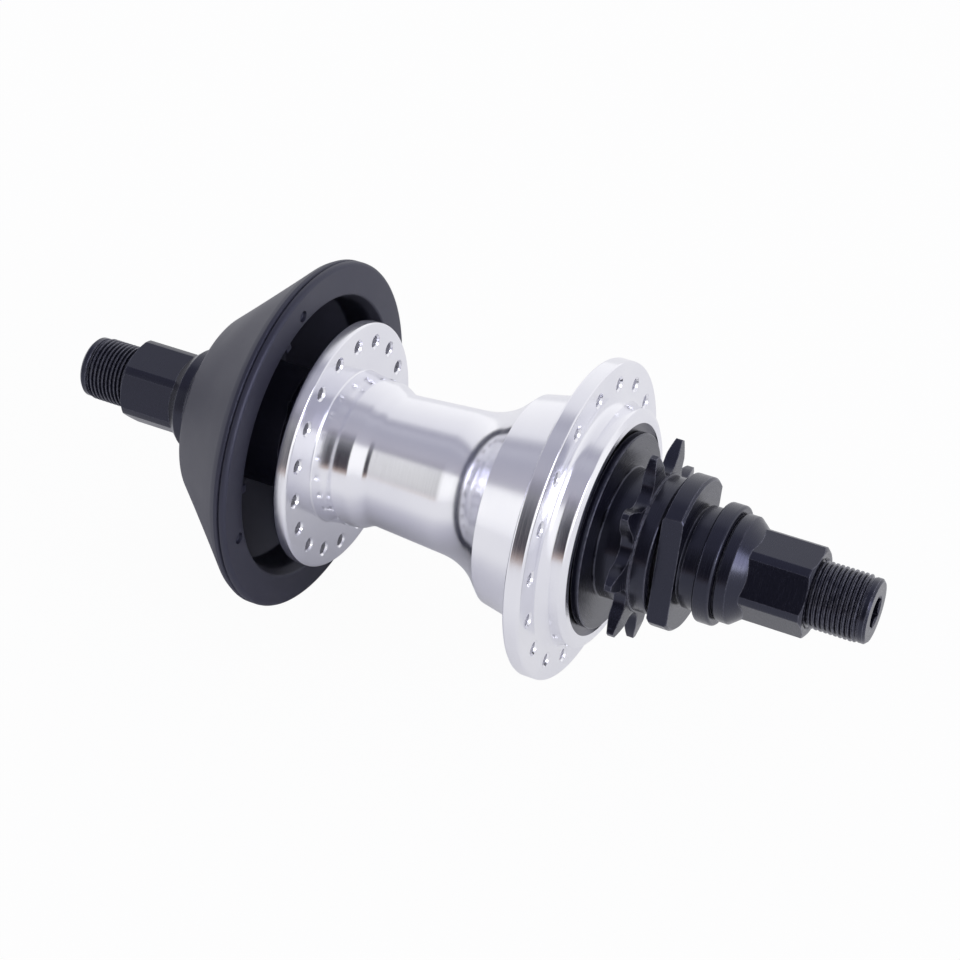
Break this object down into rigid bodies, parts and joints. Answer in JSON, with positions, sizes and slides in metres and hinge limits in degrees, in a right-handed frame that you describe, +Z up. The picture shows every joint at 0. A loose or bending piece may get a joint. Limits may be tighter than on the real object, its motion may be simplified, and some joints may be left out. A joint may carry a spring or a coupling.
{
  "type": "freecoaster rear bicycle hub",
  "caption": "Bolt-on rear bicycle hub that coasts without pedal feedback, with a one-piece driver cog, flanged polished shell, conical hub guard and flanged axle nuts.",
  "frame": {"origin": "on the axle's axis, midway between the two faces that the frame's dropouts touch", "axes": "+Y along the axle towards the non-drive side, +Z up, +X forward; the cog is on the -Y side"},
  "size_m": [0.0759, 0.1806, 0.0758],
  "materials": {
    "polished_alloy": "polished",
    "black_steel": "black oxide, satin",
    "bearing_steel": "ground",
    "cage_steel": "pressed",
    "seal_rubber": "moulded",
    "spacer_steel": "turned",
    "clutch_steel": "hardened, turned",
    "spring_steel": "tempered",
    "black_nylon": "moulded, matte"
  },
  "bodies": {
    "axle_group": {"axle": "black_steel", "nondrive_bearing_inner_race": "bearing_steel", "center_spacer": "spacer_steel", "drag_sleeve": "spacer_steel", "slack_spacer": "spacer_steel", "driver_inboard_inner_race": "bearing_steel", "driver_spacer": "spacer_steel", "driver_outboard_inner_race": "bearing_steel", "nondrive_cone_nut": "black_steel", "drive_cone_nut": "black_steel", "hub_guard": "black_nylon"},
    "shell_group": {"hub_shell": "polished_alloy", "nondrive_bearing_outer_race": "bearing_steel", "nondrive_bearing_shield_left": "seal_rubber", "nondrive_bearing_shield_right": "seal_rubber", "shell_bearing_outer_race": "bearing_steel", "shell_bearing_shield_left": "seal_rubber", "shell_bearing_shield_right": "seal_rubber", "shell_circlip": "spring_steel"},
    "driver_group": {"driver": "black_steel", "shell_bearing_inner_race": "bearing_steel", "driver_inboard_outer_race": "bearing_steel", "driver_inboard_shield_left": "seal_rubber", "driver_inboard_shield_right": "seal_rubber", "driver_outboard_outer_race": "bearing_steel", "driver_outboard_shield_left": "seal_rubber", "driver_outboard_shield_right": "seal_rubber"},
    "nondrive_cage_group": {"nondrive_bearing_balls": "bearing_steel", "nondrive_bearing_cage": "cage_steel"},
    "shell_cage_group": {"shell_bearing_balls": "bearing_steel", "shell_bearing_cage": "cage_steel"},
    "driver_cage_group": {"driver_inboard_balls": "bearing_steel", "driver_inboard_cage": "cage_steel", "driver_outboard_balls": "bearing_steel", "driver_outboard_cage": "cage_steel"},
    "clip_group": {"drag_clip": "spring_steel"},
    "cone_group": {"clutch_cone": "clutch_steel"},
    "drive_washer_group": {"drive_washer": "black_steel"},
    "drive_nut_group": {"drive_nut": "black_steel"},
    "nondrive_washer_group": {"nondrive_washer": "black_steel"},
    "nondrive_nut_group": {"nondrive_nut": "black_steel"}
  },
  "joints": [
    {"name": "shell_spin", "type": "hinge", "parent": "axle_group", "child": "shell_group", "pos_m": [0, 0, 0], "axis": [0, 1, 0], "continuous": true},
    {"name": "driver_spin", "type": "hinge", "parent": "axle_group", "child": "driver_group", "pos_m": [0, 0, 0], "axis": [0, 1, 0], "continuous": true},
    {"name": "clutch_slide", "type": "slide", "parent": "axle_group", "child": "clip_group", "axis": [0, 1, 0], "range_m": [0, 0.0018]},
    {"name": "clutch_spin", "type": "hinge", "parent": "clip_group", "child": "cone_group", "pos_m": [0, 0, 0], "axis": [0, 1, 0], "continuous": true},
    {"name": "nondrive_cage_spin", "type": "hinge", "parent": "axle_group", "child": "nondrive_cage_group", "pos_m": [0, 0, 0], "axis": [0, 1, 0], "continuous": true},
    {"name": "shell_cage_spin", "type": "hinge", "parent": "axle_group", "child": "shell_cage_group", "pos_m": [0, 0, 0], "axis": [0, 1, 0], "continuous": true},
    {"name": "driver_cage_spin", "type": "hinge", "parent": "axle_group", "child": "driver_cage_group", "pos_m": [0, 0, 0], "axis": [0, 1, 0], "continuous": true},
    {"name": "drive_washer_slide", "type": "slide", "parent": "axle_group", "child": "drive_washer_group", "axis": [0, -1, 0], "range_m": [0, 0.01201]},
    {"name": "drive_nut_turn", "type": "hinge", "parent": "drive_washer_group", "child": "drive_nut_group", "pos_m": [0, 0, 0], "axis": [0, -1, 0], "range_deg": [0, 4320]},
    {"name": "nondrive_washer_slide", "type": "slide", "parent": "axle_group", "child": "nondrive_washer_group", "axis": [0, 1, 0], "range_m": [0, 0.01201]},
    {"name": "nondrive_nut_turn", "type": "hinge", "parent": "nondrive_washer_group", "child": "nondrive_nut_group", "pos_m": [0, 0, 0], "axis": [0, 1, 0], "range_deg": [0, 4320]}
  ],
  "couplings": [
    {"joint": "clutch_spin", "follows": "driver_spin", "ratio": 1},
    {"joint": "nondrive_cage_spin", "follows": "shell_spin", "ratio": 0.58372},
    {"joint": "shell_cage_spin", "follows": "shell_spin", "ratio": 0.54722},
    {"joint": "driver_cage_spin", "follows": "driver_spin", "ratio": 0.56667},
    {"joint": "drive_washer_slide", "follows": "drive_nut_turn", "m_per_rad": 0.00015915},
    {"joint": "nondrive_washer_slide", "follows": "nondrive_nut_turn", "m_per_rad": 0.00015915}
  ]
}
